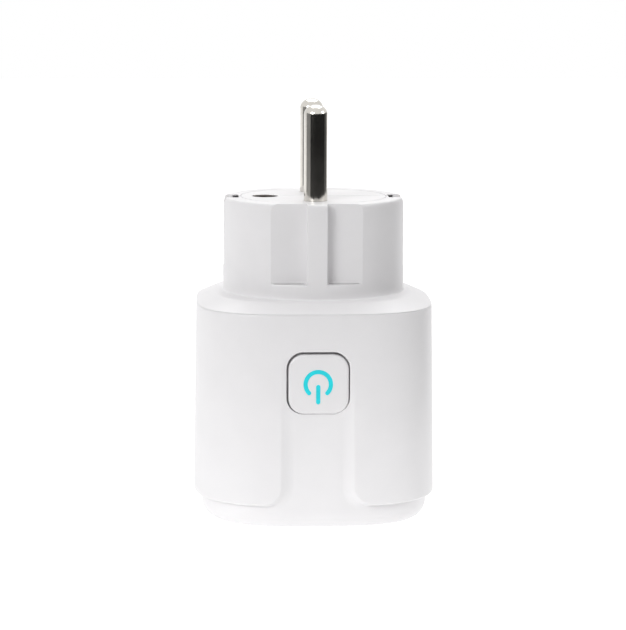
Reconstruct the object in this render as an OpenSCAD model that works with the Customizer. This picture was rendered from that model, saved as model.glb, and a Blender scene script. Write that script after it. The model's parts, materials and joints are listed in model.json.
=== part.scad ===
// Smart plug: a CEE 7/7 plug on top (+Z), a CEE 7/3 socket recess below, and a
// power button on the front (-Y). The origin is the centre of the flat foot.

/* [Body] */
// Roundness of the body's plan outline, where 2 is a circle and larger is squarer
shape_power = 3.2; // [3.1:0.05:3.4]
// Half width of the housing at the shoulder crease
crease_half = 24.2; // [24:0.05:24.4]
// Half width of the housing at the lower edge of its side panels
skirt_half = 24.8; // [24.6:0.05:25]
// Half width of the set-back rim below the side panels
rim_half = 23.3; // [23.1:0.05:23.4]
// Half width of the flat foot
foot_half = 20.6; // [20.5:0.05:20.8]
// Height of the rounded edge between foot and rim
foot_round = 3.2; // [2.8:0.1:3.6]
// Height of the side panels' lower edge
skirt_z = 5.3; // [5:0.1:5.6]
// Height of the shoulder crease, where the two shells meet
crease_z = 43.65; // [43.5:0.05:43.8]
// Height of the flat top of the shoulder
shoulder_z = 45.7; // [45.6:0.05:45.8]
// Half width of the flat top of the shoulder
shoulder_half = 20; // [19.8:0.1:20.4]
// Half width of the hollow inside the housing
cavity_half = 22.2; // [22.1:0.05:22.3]
// Thickness of the housing's floor
floor_t = 1.8; // [1.6:0.1:2]
// Width of the recessed channel below the button
channel_w = 14.7; // [14:0.1:15]
// Radius of the side panels' lower inner corners
channel_flare = 3.8; // [3:0.1:4.5]

/* [Plug] */
// Height of the pin face
face_z = 65; // [64.8:0.1:65.2]
// Radius of the plug's cylinder at the pin face
plug_r = 18.5; // [18.4:0.05:18.6]
// Distance of the two pairs of flats from the plug's axis
flat_y = 16.2; // [16:0.1:16.4]
// Height of the ledges where the flats end
ledge_z = 48.8; // [48.4:0.1:49.2]
// Width of the rib between two flats
rib_w = 4; // [3.6:0.1:4.4]
// Radius of a contact pin
pin_r = 2.4; // [2.38:0.01:2.42]
// Distance of each contact pin from the plug's axis
pin_y = 9.5; // [9.4:0.05:9.6]
// Length of a contact pin above the pin face
pin_len = 19.5; // [18.8:0.1:19.6]
// Radius of the earth hole in the pin face
earth_hole_r = 2.7; // [2.6:0.05:2.8]
// Distance of the earth hole from the plug's axis
earth_hole_x = 10; // [9.8:0.1:10.2]
// Width of the slots that hold the plug's earth strips
earth_slot_w = 6; // [5.8:0.1:6.2]

/* [Socket] */
// Radius of the socket recess
recess_r = 19.5; // [19.4:0.05:19.6]
// Depth of the socket recess
recess_depth = 17.5; // [17.4:0.1:17.6]
// Radius of the socket's pin holes
socket_hole_r = 2.7; // [2.6:0.05:2.8]
// Distance of the guide pads' faces from the socket's axis
pad_y = 17; // [16.9:0.1:17.1]
// Width of the springy earth clips
clip_w = 5; // [4.6:0.1:5.2]

/* [Button] */
// Width of the button
button_w = 12.1; // [12:0.05:12.2]
// Height of the button
button_h = 12; // [11.9:0.05:12.1]
// Radius of the button's corners
button_corner = 3.1; // [3:0.1:3.2]
// Height of the button's centre
button_z = 29.9; // [29.8:0.1:30.1]
// Distance of the button's face in front of the axis
button_front = 24; // [23.95:0.05:24.05]
// Gap round the button
button_gap = 0.3; // [0.25:0.05:0.35]
// Height of the power symbol's ring centre
symbol_z = 29.65; // [29.5:0.05:29.8]
// Radius of the middle of the symbol's ring
symbol_r = 2.53; // [2.4:0.01:2.6]
// Width of the symbol's strokes
symbol_stroke = 0.84; // [0.7:0.02:0.9]
// Half of the angle that the symbol's ring is open at its foot
symbol_open = 46; // [40:1:52]

/* [Hidden] */

$fn = 64;
ring_steps = 96;
eps = 0.01;

// Colours
shell_white = "#efeef1";
nickel = "#c9c6bd";
brass_gold = "#c8a24a";
spring_steel = "#b4b7ba";
board_green = "#1f6b3e";
dark_plastic = "#26282b";

// Heights worked out from the driving ones
socket_floor_z = recess_depth + 2;
shutter_z = socket_floor_z + 0.15;
shutter_t = 1.8;
retainer_z = socket_floor_z + 2.4;
retainer_t = 1;
face_t = 2.4;
face_under_z = face_z - face_t;
collar_z = face_under_z - 2;
plate_t = 2;
tab_z = collar_z - plate_t - 1;
pin_tip_z = face_z + pin_len;
board_z = 39;
board_t = 1.6;
board_top_z = board_z + board_t;
bar_z = 47.6;
metal_t = 0.8;

// Self-tapping screws: radii of the shank, the head, the hole it cuts into and the hole it passes
screw_r = 0.75;
screw_head_r = 1.8;
screw_head_h = 1.3;
thread_hole_r = 0.8;
clear_hole_r = 1.1;

// Radii of a pin's collar, behind the face, and of the tail that the live parts are riveted to
collar_r = 3.6;
tail_r = 1.6;

// Plan positions
cup_boss_xy = 23 * cos(45);
board_boss_xy = 14.8;
retainer_screw_x = 11.5;
plate_screw_y = 3.8;
strap_x = 18.9;
strap_top_x = 15.2;
rivet_x = 16.8;
rivet_r = 0.9;

// Control board, switch and lamp parts behind the button
control_back_y = 15.8;
control_front_y = 17;
switch_front_y = 20.2;
plunger_front_y = 20.9;
plunger_r = 1.7;
flange_front_y = 21.85;
flange_back_y = 21;
flange_w = 14.2;
lamp_disc_r = 5;

// Relay box and the parts in it
relay_x = 11.4;
relay_box = [10.4, 18.4, 15.4];
relay_min = [relay_x - relay_box[0] / 2, -7, board_z - relay_box[2]];
relay_wall = 0.7;
coil_y = 5.6;
armature_z = 27.2;
armature_t = 1;
coil_z = 29.1;
coil_h = 7;
core_r = 1.4;
cheek_r = 4;
cheek_t = 0.7;
yoke_top_z = coil_z + coil_h;
contact_y = -3.4;
contact_r = 1.1;
relay_base_z = board_z - 1.8;

// Ends of the leads above the main board, and footprints of the live parts' legs through it
lead_top_z = board_top_z + 0.6;
busbar_leg = [-6.5, pin_y - 1, -5.6, pin_y + 2.5];
tab_half_t = 0.4;
tab_half_w = 1.5;
strap_w = 4;

// ---- shared shapes ----

// Points of the body's plan outline at one height
function squircle(half, z) = [
    for (i = [0:ring_steps - 1])
        let (
            a = 360 * i / ring_steps,
            spread = pow(abs(cos(a)), shape_power) + pow(abs(sin(a)), shape_power),
            r = half / pow(spread, 1 / shape_power)
        )
        [r * cos(a), r * sin(a), z]
];

// Solid through a stack of squircle rings, each given as [half width, height]
module loft(rings) {
    last = len(rings) - 1;
    points = [for (ring = rings) each squircle(ring[0], ring[1])];
    sides = [
        for (j = [0:last - 1])
            for (i = [0:ring_steps - 1])
                let (
                    k = (i + 1) % ring_steps,
                    low = j * ring_steps,
                    high = low + ring_steps
                )
                [low + i, high + i, high + k, low + k]
    ];
    bottom = [for (i = [0:ring_steps - 1]) i];
    top = [for (i = [0:ring_steps - 1]) (last + 1) * ring_steps - 1 - i];
    polyhedron(points, concat(sides, [bottom, top]));
}

module squircle_plate(half, z, t) {
    translate([0, 0, z])
        linear_extrude(t)
            polygon([for (p = squircle(half, 0)) [p[0], p[1]]]);
}

// Closed band between two squircles
module squircle_band(outer, inner, z, t) {
    difference() {
        squircle_plate(outer, z, t);
        squircle_plate(inner, z - 1, t + 2);
    }
}

// Outline of a strip of constant thickness along a path of [x, y] points
function unit(v) = v / norm(v);
function side_of(v) = [-v[1], v[0]];
function corner_offset(path, i) =
    let (
        last = len(path) - 1,
        before = unit(path[max(i, 1)] - path[max(i, 1) - 1]),
        after = unit(path[min(i, last - 1) + 1] - path[min(i, last - 1)]),
        mid = unit(side_of(before) + side_of(after))
    )
    mid / (mid * side_of(before));
function strip_outline(path, t) = concat(
    [for (i = [0:len(path) - 1]) path[i] + corner_offset(path, i) * t / 2],
    [for (i = [len(path) - 1:-1:0]) path[i] - corner_offset(path, i) * t / 2]
);

// Bent strip whose path lies in the XZ plane, centred on y
module strip_xz(path, t, width, y = 0) {
    translate([0, y + width / 2, 0])
        rotate([90, 0, 0])
            linear_extrude(width)
                polygon(strip_outline(path, t));
}

// Bent strip whose path is [y, z] points, centred on x
module strip_yz(path, t, width, x = 0) {
    translate([x - width / 2, 0, 0])
        rotate([90, 0, 90])
            linear_extrude(width)
                polygon(strip_outline(path, t));
}

module rounded_rect(w, h, r) {
    square([w - 2 * r, h], center = true);
    square([w, h - 2 * r], center = true);
    for (x = [-1, 1])
        for (y = [-1, 1])
            translate([x * (w / 2 - r), y * (h / 2 - r)])
                circle(r);
}

// Upright prism on the front of the body, from one distance in front of the axis to another
module front_prism(from_y, to_y, z) {
    translate([0, -from_y, z])
        rotate([90, 0, 0])
            linear_extrude(to_y - from_y)
                children();
}

module box(low, high) {
    translate(low)
        cube(high - low);
}

module at_corners(xy) {
    for (x = [-xy, xy])
        for (y = [-xy, xy])
            translate([x, y, 0])
                children();
}

// Self-tapping screw with its head's underside at z = 0 and its shank pointing up
module screw(shank, head_h) {
    cross_w = 2.2;
    cross_t = 0.4;
    difference() {
        union() {
            cylinder(h = shank, r = screw_r);
            translate([0, 0, -head_h])
                cylinder(h = head_h, r = screw_head_r);
        }
        for (turn = [0, 90])
            rotate(turn)
                translate([-cross_w / 2, -cross_t / 2, -head_h - eps])
                    cube([cross_w, cross_t, head_h * 0.6]);
    }
}

module screw_down(shank, head_h) {
    mirror([0, 0, 1])
        screw(shank, head_h);
}

// ---- shells ----

foot_rings = [
    for (a = [0:15:90])
        [foot_half + (rim_half - foot_half) * sin(a), foot_round * (1 - cos(a))]
];
edge_round = 0.35;
body_rings = concat(foot_rings, [
    [rim_half, skirt_z],
    [skirt_half - edge_round, skirt_z],
    [skirt_half, skirt_z + edge_round],
    [crease_half, crease_z]
]);

// Channel between the side panels: straight above, flared where the panels' corners round off
channel_h = 36;
channel_tilt = 1.84;
module channel_outline() {
    outer = channel_w / 2 + channel_flare;
    difference() {
        translate([-outer, 0])
            square([2 * outer, channel_h]);
        for (side = [-1, 1])
            translate([side * outer, channel_flare])
                circle(channel_flare);
        for (side = [-1, 1])
            scale([side, 1])
                translate([channel_w / 2, channel_flare])
                    square([channel_flare + 1, channel_h]);
    }
}

module channel_cutter() {
    translate([0, -rim_half, skirt_z])
        rotate([90 + channel_tilt, 0, 0])
            linear_extrude(4)
                channel_outline();
}

module button_outline(grow) {
    rounded_rect(button_w + 2 * grow, button_h + 2 * grow, button_corner + grow);
}

// The snap tongues stand on the two sides, two on each
tongue_y = [4.5, 9.5];
hook_z = 37.6;
hook_t = 1.2;
hook_gap = 0.3;

// How far a piece that is added to another reaches into it
joint_in = 0.3;
cup_boss_r = 1.9;
cup_boss_hole_z = 8;
module tongue_spans(extra, low_z, high_z) {
    for (x = [-1, 1])
        for (y = [-1, 1])
            scale([x, y, 1])
                box([15, tongue_y[0] - extra, low_z], [26, tongue_y[1] + extra, high_z]);
}

module main_housing() {
    color(shell_white)
        difference() {
            union() {
                difference() {
                    loft(body_rings);
                    loft([
                        [cavity_half - 1, floor_t],
                        [cavity_half, floor_t + 3.2],
                        [cavity_half, crease_z + 1]
                    ]);
                }
                at_corners(cup_boss_xy)
                    translate([0, 0, floor_t - joint_in])
                        cylinder(h = recess_depth - floor_t + joint_in, r = cup_boss_r);
            }
            channel_cutter();
            translate([0, 0, -1])
                cylinder(h = floor_t + 2, r = recess_r, $fn = 128);
            front_prism(cavity_half - 2, skirt_half + 1, button_z)
                button_outline(button_gap);
            at_corners(cup_boss_xy)
                translate([0, 0, cup_boss_hole_z])
                    cylinder(h = recess_depth, r = thread_hole_r);
            intersection() {
                squircle_band(cavity_half + 0.6, cavity_half - 1, hook_z - hook_gap, hook_t + 2 * hook_gap);
                tongue_spans(hook_gap, hook_z - hook_gap, hook_z + hook_t + hook_gap);
            }
        }
}

hollow_r = 16.9;
hollow_y = 14.4;
slot_x = 15.4;
slot_floor_z = 50.6;
slot_wall_t = 1.2;
strip_in_x = [15.7, 16.75];
lip_half = cavity_half - 0.15;
lip_t = 1.4;
lip_h = 2;
screw_boss_r = 2.2;

// Slot of the earth strip on the +X side, grown by the thickness of the walls round it
module earth_slot(wall, top) {
    half_w = earth_slot_w / 2 + wall;
    box([slot_x - wall, -half_w, slot_floor_z - wall], [slot_x + 5, half_w, top]);
}

module pin_cover() {
    color(shell_white)
        difference() {
            union() {
                loft([[crease_half - 0.1, crease_z], [shoulder_half, shoulder_z]]);
                plug_cylinder();
                squircle_band(lip_half, lip_half - lip_t, crease_z - lip_h, lip_h + joint_in);
                intersection() {
                    union() {
                        squircle_band(lip_half, lip_half - lip_t, hook_z, crease_z - hook_z + joint_in);
                        squircle_band(cavity_half + 0.4, lip_half - lip_t, hook_z, hook_t);
                    }
                    tongue_spans(0, hook_z - 1, crease_z + joint_in);
                }
                at_corners(board_boss_xy)
                    translate([0, 0, board_top_z])
                        cylinder(h = crease_z - board_top_z + joint_in, r = screw_boss_r);
            }
            plug_hollow();
            for (side = [-1, 1])
                scale([side, 1, 1]) {
                    earth_slot(0, face_z + 1);
                    box([strip_in_x[0], -2.7, ledge_z], [strip_in_x[1], 2.7, slot_floor_z + 1]);
                }
            for (side = [-1, 1])
                translate([0, side * pin_y, collar_z])
                    cylinder(h = face_z, r = pin_r + 0.2);
            translate([-earth_hole_x, 0, face_under_z - 1])
                cylinder(h = face_t + 2, r = earth_hole_r);
            at_corners(board_boss_xy)
                translate([0, 0, board_top_z - 1])
                    cylinder(h = 3.6, r = thread_hole_r);
            for (side = [-1, 1])
                translate([0, side * plate_screw_y, collar_z - 1])
                    cylinder(h = 4, r = thread_hole_r);
        }
}

module plug_cylinder() {
    draft = 0.15;
    difference() {
        union() {
            translate([0, 0, shoulder_z - 1])
                cylinder(h = ledge_z - shoulder_z + 1, r = plug_r + draft, $fn = 128);
            translate([0, 0, ledge_z])
                cylinder(h = face_z - ledge_z, r1 = plug_r + draft, r2 = plug_r, $fn = 128);
        }
        for (x = [-1, 1])
            for (y = [-1, 1])
                scale([x, y, 1])
                    box([rib_w / 2, flat_y, ledge_z], [plug_r, plug_r + 2, face_z + 1]);
    }
}

// Hollow of the plug, leaving the walls of the earth slots and the bosses of the pin retainer
module plug_hollow() {
    difference() {
        intersection() {
            translate([0, 0, crease_z - 3])
                cylinder(h = face_under_z - crease_z + 3, r = hollow_r, $fn = 128);
            box([-20, -hollow_y, crease_z - 4], [20, hollow_y, face_z]);
        }
        for (side = [-1, 1])
            scale([side, 1, 1])
                earth_slot(slot_wall_t, face_z);
        for (side = [-1, 1])
            translate([0, side * plate_screw_y, collar_z])
                cylinder(h = 4, r = 2);
    }
}

cup_wall_t = 1.4;
post_r = 1.95;
pad_z = 5.5;
pad_x = [2.9, 8.9];

module socket_cup() {
    color(shell_white)
        difference() {
            union() {
                difference() {
                    translate([0, 0, floor_t])
                        cylinder(h = recess_depth - floor_t + eps, r = recess_r + cup_wall_t, $fn = 128);
                    translate([0, 0, -1])
                        cylinder(h = recess_depth + 1, r = recess_r, $fn = 128);
                }
                squircle_plate(cavity_half - 0.3, recess_depth, socket_floor_z - recess_depth);
                intersection() {
                    translate([0, 0, pad_z])
                        cylinder(h = recess_depth - pad_z + eps, r = recess_r + cup_wall_t / 2);
                    for (x = [-1, 1])
                        for (y = [-1, 1])
                            scale([x, y, 1])
                                box([pad_x[0], pad_y, 0], [pad_x[1], recess_r + 2, socket_floor_z]);
                }
                translate([0, 0, socket_floor_z - eps])
                    cylinder(h = retainer_z + retainer_t - socket_floor_z + eps, r = post_r);
                for (side = [-1, 1])
                    translate([side * retainer_screw_x, 0, socket_floor_z - eps])
                        cylinder(h = retainer_z - socket_floor_z + eps, r = screw_boss_r);
            }
            for (side = [-1, 1])
                translate([0, side * pin_y, recess_depth - 1])
                    cylinder(h = 4, r = socket_hole_r);
            for (side = [-1, 1])
                translate([side * retainer_screw_x, 0, socket_floor_z - 0.9])
                    cylinder(h = 5, r = thread_hole_r);
            at_corners(cup_boss_xy)
                translate([0, 0, recess_depth - 1])
                    cylinder(h = 4, r = clear_hole_r);
            for (side = [-1, 1])
                scale([side, 1, 1]) {
                    box([recess_r - 3, -3.2, floor_t + 3.2], [recess_r + 2, 3.2, recess_depth]);
                    box([19.8, -3, recess_depth - 1], [21.2, 3, recess_depth + 3]);
                }
        }
}

module cup_screws() {
    color(spring_steel)
        at_corners(cup_boss_xy)
            translate([0, 0, socket_floor_z])
                screw_down(9, screw_head_h);
}

// ---- button ----

module symbol_outline(width) {
    steps = 28;
    angles = [for (i = [0:steps]) symbol_open - 90 + i * (360 - 2 * symbol_open) / steps];
    polygon(concat(
        [for (a = angles) (symbol_r + width / 2) * [cos(a), sin(a)]],
        [for (i = [len(angles) - 1:-1:0]) (symbol_r - width / 2) * [cos(angles[i]), sin(angles[i])]]
    ));
    for (side = [-1, 1])
        translate([side * symbol_r * sin(symbol_open), -symbol_r * cos(symbol_open)])
            circle(width / 2);
    bar_y = [-3.6, -0.5];
    translate([-width / 2, bar_y[0]])
        square([width, bar_y[1] - bar_y[0]]);
    for (y = bar_y)
        translate([0, y])
            circle(width / 2);
}

module button_cap() {
    color(shell_white)
        difference() {
            union() {
                front_prism(flange_back_y, button_front, button_z)
                    button_outline(0);
                front_prism(flange_back_y, flange_front_y, button_z)
                    rounded_rect(flange_w, flange_w, 2.5);
            }
            front_prism(flange_back_y - 1, button_front - 1.1, button_z)
                circle(lamp_disc_r + 0.05);
            front_prism(flange_back_y - 1, button_front + 1, symbol_z)
                symbol_outline(symbol_stroke + 0.04);
        }
}

module button_light_guide() {
    color("#32d7e1") {
        front_prism(flange_back_y + 0.2, button_front - 1.1, button_z)
            circle(lamp_disc_r);
        front_prism(button_front - 1.1 - eps, button_front, symbol_z)
            symbol_outline(symbol_stroke);
        front_prism(plunger_front_y + 0.05, flange_back_y + 0.2 + eps, button_z)
            circle(1.6);
    }
}

module tactile_switch_body() {
    color(dark_plastic)
        difference() {
            front_prism(control_front_y, switch_front_y, button_z)
                square([6, 6], center = true);
            front_prism(switch_front_y - 1.7, switch_front_y + 1, button_z)
                circle(plunger_r + 0.05);
        }
}

module switch_plunger() {
    color("#d9d2bf")
        front_prism(switch_front_y - 1.2, plunger_front_y, button_z)
            circle(plunger_r);
}

// ---- socket shutter ----

module shutter() {
    blade_r = 3.6;
    spring_pocket_r = 3.7;
    spring_pocket_depth = 1;
    color("#e4e2dc")
        translate([0, 0, shutter_z])
            difference() {
                linear_extrude(shutter_t) {
                    circle(5);
                    square([2 * blade_r - 0.2, 2 * pin_y], center = true);
                    for (side = [-1, 1])
                        translate([0, side * pin_y])
                            circle(blade_r);
                }
                translate([0, 0, -1])
                    cylinder(h = shutter_t + 2, r = post_r + 0.05);
                translate([0, 0, shutter_t - spring_pocket_depth])
                    cylinder(h = shutter_t, r = spring_pocket_r);
            }
}

module shutter_retainer() {
    retainer_r = 13.6;
    color(shell_white)
        translate([0, 0, retainer_z])
            difference() {
                cylinder(h = retainer_t, r = retainer_r);
                translate([0, 0, -1])
                    cylinder(h = retainer_t + 2, r = post_r + 0.1);
                for (side = [-1, 1])
                    translate([0, side * pin_y, -1])
                        cylinder(h = retainer_t + 2, r = socket_hole_r + 0.3);
                for (side = [-1, 1])
                    translate([side * retainer_screw_x, 0, -1])
                        cylinder(h = retainer_t + 2, r = clear_hole_r);
            }
}

module shutter_screws() {
    color(spring_steel)
        for (side = [-1, 1])
            translate([side * retainer_screw_x, 0, retainer_z + retainer_t])
                screw_down(3.2, 0.6);
}

// Round wire wound round the post
spring_turns = 2.5;
spring_r = 2.9;
wire_r = 0.17;
spring_pitch = 0.42;
function spring_point(turn, a) =
    let (r = spring_r + wire_r * cos(a))
    [
        r * cos(360 * turn),
        r * sin(360 * turn),
        shutter_z + 1.05 + spring_pitch * turn + wire_r * sin(a)
    ];

module shutter_spring() {
    sides = 6;
    steps = 50;
    points = [
        for (j = [0:steps])
            for (i = [0:sides - 1])
                spring_point(spring_turns * j / steps, 360 * i / sides)
    ];
    walls = [
        for (j = [0:steps - 1])
            for (i = [0:sides - 1])
                let (k = (i + 1) % sides, low = j * sides, high = low + sides)
                [low + i, low + k, high + k, high + i]
    ];
    start = [for (i = [0:sides - 1]) sides - 1 - i];
    end = [for (i = [0:sides - 1]) steps * sides + i];
    color(spring_steel)
        polyhedron(points, concat(walls, [start, end]));
}

// ---- plug pins and live parts ----

module contact_pin(side) {
    dome = 2;
    neck_r = pin_r - 0.2;
    rivet_head_r = 2.8;
    rivet_head_h = 1.2;
    tip = [for (a = [90:-15:0]) [pin_r * cos(a), pin_tip_z - dome + dome * sin(a)]];
    color(nickel)
        translate([0, side * pin_y, 0])
            rotate_extrude()
                polygon(concat(tip, [
                    [pin_r, face_z], [neck_r, face_z],
                    [neck_r, face_under_z], [collar_r, face_under_z],
                    [collar_r, collar_z], [tail_r, collar_z],
                    [tail_r, tab_z], [rivet_head_r, tab_z],
                    [rivet_head_r, tab_z - rivet_head_h], [0, tab_z - rivet_head_h]
                ]));
}

module line_pin() {
    contact_pin(-1);
}

module neutral_pin() {
    contact_pin(1);
}

module pin_retainer() {
    plate_half_w = 5.6;
    plate_half_l = 13.2;
    color(dark_plastic)
        difference() {
            box([-plate_half_w, -plate_half_l, collar_z - plate_t], [plate_half_w, plate_half_l, collar_z]);
            for (side = [-1, 1])
                translate([0, side * pin_y, collar_z - 3])
                    cylinder(h = 4, r = tail_r + 0.05);
            for (side = [-1, 1])
                translate([0, side * plate_screw_y, collar_z - 3])
                    cylinder(h = 4, r = clear_hole_r);
        }
}

module retainer_screws() {
    color(spring_steel)
        for (side = [-1, 1])
            translate([0, side * plate_screw_y, collar_z - plate_t])
                screw(4.4, screw_head_h);
}

// Tab round the pin's tail, and a leg down through the main board
module busbar(side) {
    bar_t = 1;
    bar_half_w = 2.5;
    color(brass_gold)
        scale([1, side, 1])
            difference() {
                union() {
                    box([busbar_leg[0], pin_y - bar_half_w, tab_z], [0, pin_y + bar_half_w, tab_z + bar_t]);
                    translate([0, pin_y, tab_z])
                        cylinder(h = bar_t, r = bar_half_w + 0.5);
                    box(
                        [busbar_leg[0], busbar_leg[1], board_z - 1],
                        [busbar_leg[2], busbar_leg[3], tab_z + bar_t]
                    );
                }
                translate([0, pin_y, tab_z - 1])
                    cylinder(h = bar_t + 2, r = tail_r + 0.1);
            }
}

module line_busbar() {
    busbar(-1);
}

module neutral_busbar() {
    busbar(1);
}

// Two leaves that grip a mating pin, bridged above its tip, with a tab into the main board
module fork_contact(side) {
    bridge_z = 37.7;
    leaf = [[3.9, 24.3], [2.86, 27], [3.2, 31], [3.2, bridge_z]];
    leaf_w = 7;
    slit_half = 0.4;
    slit_z = [20, 34];
    path = concat([for (p = leaf) [-p[0], p[1]]], [for (i = [len(leaf) - 1:-1:0]) leaf[i]]);
    color(brass_gold)
        translate([0, side * pin_y, 0])
            difference() {
                union() {
                    strip_xz(path, metal_t, leaf_w);
                    box([-tab_half_t, -tab_half_w, bridge_z], [tab_half_t, tab_half_w, board_top_z + 0.8]);
                }
                box([-leaf_w, -slit_half, slit_z[0]], [leaf_w, slit_half, slit_z[1]]);
            }
}

module line_contact() {
    fork_contact(-1);
}

module neutral_contact() {
    fork_contact(1);
}

// ---- earth path ----

module plug_earth_strip(side) {
    path = [
        [13.5, bar_z + 1.2], [16.2, bar_z + 1.2], [16.2, 51.2],
        [17.7, 54], [17.95, 58], [17.3, 62.4], [16.8, 64.3]
    ];
    color(nickel)
        scale([side, 1, 1])
            strip_xz(path, metal_t, 5);
}

module plug_earth_strip_left() {
    plug_earth_strip(-1);
}

module plug_earth_strip_right() {
    plug_earth_strip(1);
}

module earth_cross_bar() {
    bar_half_l = 16.2;
    bar_half_w = 2.5;
    color(brass_gold)
        difference() {
            box([-bar_half_l, -bar_half_w, bar_z], [bar_half_l, bar_half_w, bar_z + metal_t]);
            translate([-earth_hole_x, 0, bar_z - 1])
                cylinder(h = 3, r = 1.6);
        }
}

// Split tube that grips the earth pin of a French wall socket
module earth_receptacle() {
    tube_h = face_under_z - bar_z - metal_t - 0.3;
    tube_r = 3.2;
    grip_r = 2.5;
    split_z = 5;
    color(brass_gold)
        translate([-earth_hole_x, 0, bar_z + metal_t])
            difference() {
                cylinder(h = tube_h, r = tube_r);
                translate([0, 0, 1])
                    cylinder(h = tube_h, r = grip_r);
                for (turn = [0, 90])
                    rotate(turn)
                        box([-tube_r - 1, -0.3, split_z], [tube_r + 1, 0.3, tube_h + 1]);
            }
}

module earth_strap(side) {
    path = [
        [11.6, bar_z - metal_t / 2], [strap_top_x, bar_z - metal_t / 2],
        [strap_top_x, 42.2], [strap_x, 42.2],
        [strap_x, socket_floor_z + 1], [15.2, socket_floor_z + 1]
    ];
    color(brass_gold)
        scale([side, 1, 1])
            difference() {
                strip_xz(path, metal_t, strap_w);
                translate([rivet_x, 0, socket_floor_z])
                    cylinder(h = 3, r = rivet_r + 0.05);
            }
}

module earth_strap_left() {
    earth_strap(-1);
}

module earth_strap_right() {
    earth_strap(1);
}

module socket_earth_clip(side) {
    sheet = 0.6;
    path = [
        [15.2, socket_floor_z + sheet / 2], [20.5, socket_floor_z + sheet / 2],
        [20.5, 15.5], [17.4, 11.5], [17.9, 8.5], [20.2, 5.6]
    ];
    color(nickel)
        scale([side, 1, 1])
            difference() {
                strip_xz(path, sheet, clip_w);
                translate([rivet_x, 0, socket_floor_z - 1])
                    cylinder(h = 3, r = rivet_r + 0.05);
            }
}

module socket_earth_clip_left() {
    socket_earth_clip(-1);
}

module socket_earth_clip_right() {
    socket_earth_clip(1);
}

module earth_rivets() {
    shank_h = 1.5;
    color(brass_gold)
        for (side = [-1, 1])
            translate([side * rivet_x, 0, socket_floor_z]) {
                cylinder(h = shank_h, r = rivet_r);
                translate([0, 0, shank_h - 0.1])
                    cylinder(h = 0.7, r = 1.6);
            }
}

// ---- boards ----

// Opening through the main board round a footprint given as [x0, y0, x1, y1]
module board_slot(foot, gap) {
    box([foot[0] - gap, foot[1] - gap, board_z - 1], [foot[2] + gap, foot[3] + gap, board_top_z + 1]);
}

module main_board() {
    board_half = 20.2;
    slot_gap = 0.2;
    color(board_green)
        difference() {
            squircle_plate(board_half, board_z, board_t);
            at_corners(board_boss_xy)
                translate([0, 0, board_z - 1])
                    cylinder(h = board_t + 2, r = clear_hole_r);
            for (side = [-1, 1]) {
                scale([1, side, 1]) {
                    board_slot([-tab_half_t, pin_y - tab_half_w, tab_half_t, pin_y + tab_half_w], slot_gap);
                    board_slot(busbar_leg, slot_gap);
                }
                scale([side, 1, 1])
                    board_slot([strap_x - metal_t / 2, -strap_w / 2, board_half + 2, strap_w / 2], 0.3);
            }
            for (x = header_x)
                board_slot([x - header_t / 2, -header_y - header_t / 2,
                    x + header_t / 2, -header_y + header_t / 2], slot_gap);
            for (foot = relay_blades)
                board_slot(foot, slot_gap);
        }
}

module board_screws() {
    color(spring_steel)
        at_corners(board_boss_xy)
            translate([0, 0, board_z])
                screw(3.8, screw_head_h);
}

module control_board() {
    color(board_green)
        box([-12.8, -control_front_y, 20.8], [12.8, -control_back_y, 38.5]);
}

header_pitch = 2.54;
header_x = [for (i = [0:5]) (i - 2.5) * header_pitch];
header_y = 14.4;
header_t = 0.6;

module pin_header_base() {
    half_l = 3 * header_pitch;
    base_h = 2.5;
    hole_half = header_t / 2 + 0.05;
    color(dark_plastic)
        translate([0, -header_y, board_z - 0.1])
            difference() {
                box([-half_l, -1.2, -base_h], [half_l, 1.1, 0]);
                for (x = header_x)
                    box([x - hole_half, -hole_half, -base_h - 1], [x + hole_half, hole_half, 1]);
            }
}

// Each pin lies along the control board's back and turns up through the main board
module header_pins() {
    low_z = 35.9;
    path = [[-control_back_y, low_z], [-header_y, low_z], [-header_y, lead_top_z]];
    color(brass_gold)
        for (x = header_x)
            strip_yz(path, header_t, header_t, x);
}

module indicator_leds() {
    color("#f4f2d8")
        for (side = [-1, 1])
            translate([side * 5.2, 0, 0])
                front_prism(control_front_y, control_front_y + 1.6, button_z)
                    square([2.8, 3.2], center = true);
}

module wifi_board() {
    color("#20304a")
        box([-12.6, -control_back_y, 21.6], [-0.8, -control_back_y + 0.8, 35]);
}

module wifi_shield_can() {
    color("#c4c7c9")
        box([-12, -control_back_y + 0.8, 22], [-1.4, -control_back_y + 2, 31.4]);
}

// ---- relay ----

// Footprints of the blades that pass through the relay's base, as [x0, y0, x1, y1]
relay_blades = [
    [7.9, 9.3, 8.5, 9.9],
    [14.3, 9.3, 14.9, 9.9],
    [relay_x - 1, -0.6, relay_x + 1, 0.2],
    [relay_x - 1.5, -5.7, relay_x + 1.5, -5.1]
];

module relay_base() {
    inset = relay_wall + 0.05;
    low = [relay_min[0] + inset, relay_min[1] + inset, relay_base_z];
    high = [relay_min[0] + relay_box[0] - inset, relay_min[1] + relay_box[1] - inset, board_z];
    gap = 0.05;
    color(dark_plastic)
        difference() {
            box(low, high);
            for (foot = relay_blades)
                box(
                    [foot[0] - gap, foot[1] - gap, relay_base_z - 1],
                    [foot[2] + gap, foot[3] + gap, board_z + 1]
                );
        }
}

module relay_cover() {
    inset = [relay_wall, relay_wall, relay_wall];
    color("#2b3d6b")
        difference() {
            translate(relay_min)
                cube(relay_box);
            translate(relay_min + inset)
                cube(relay_box - [2 * relay_wall, 2 * relay_wall, 0]);
        }
}

module relay_bobbin() {
    color("#d8d4c6")
        translate([relay_x, coil_y, coil_z])
            difference() {
                union() {
                    cylinder(h = coil_h, r = core_r + 0.6);
                    for (z = [0, coil_h - cheek_t])
                        translate([0, 0, z])
                            cylinder(h = cheek_t, r = cheek_r);
                }
                translate([0, 0, -1])
                    cylinder(h = coil_h + 2, r = core_r + 0.05);
            }
}

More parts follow.
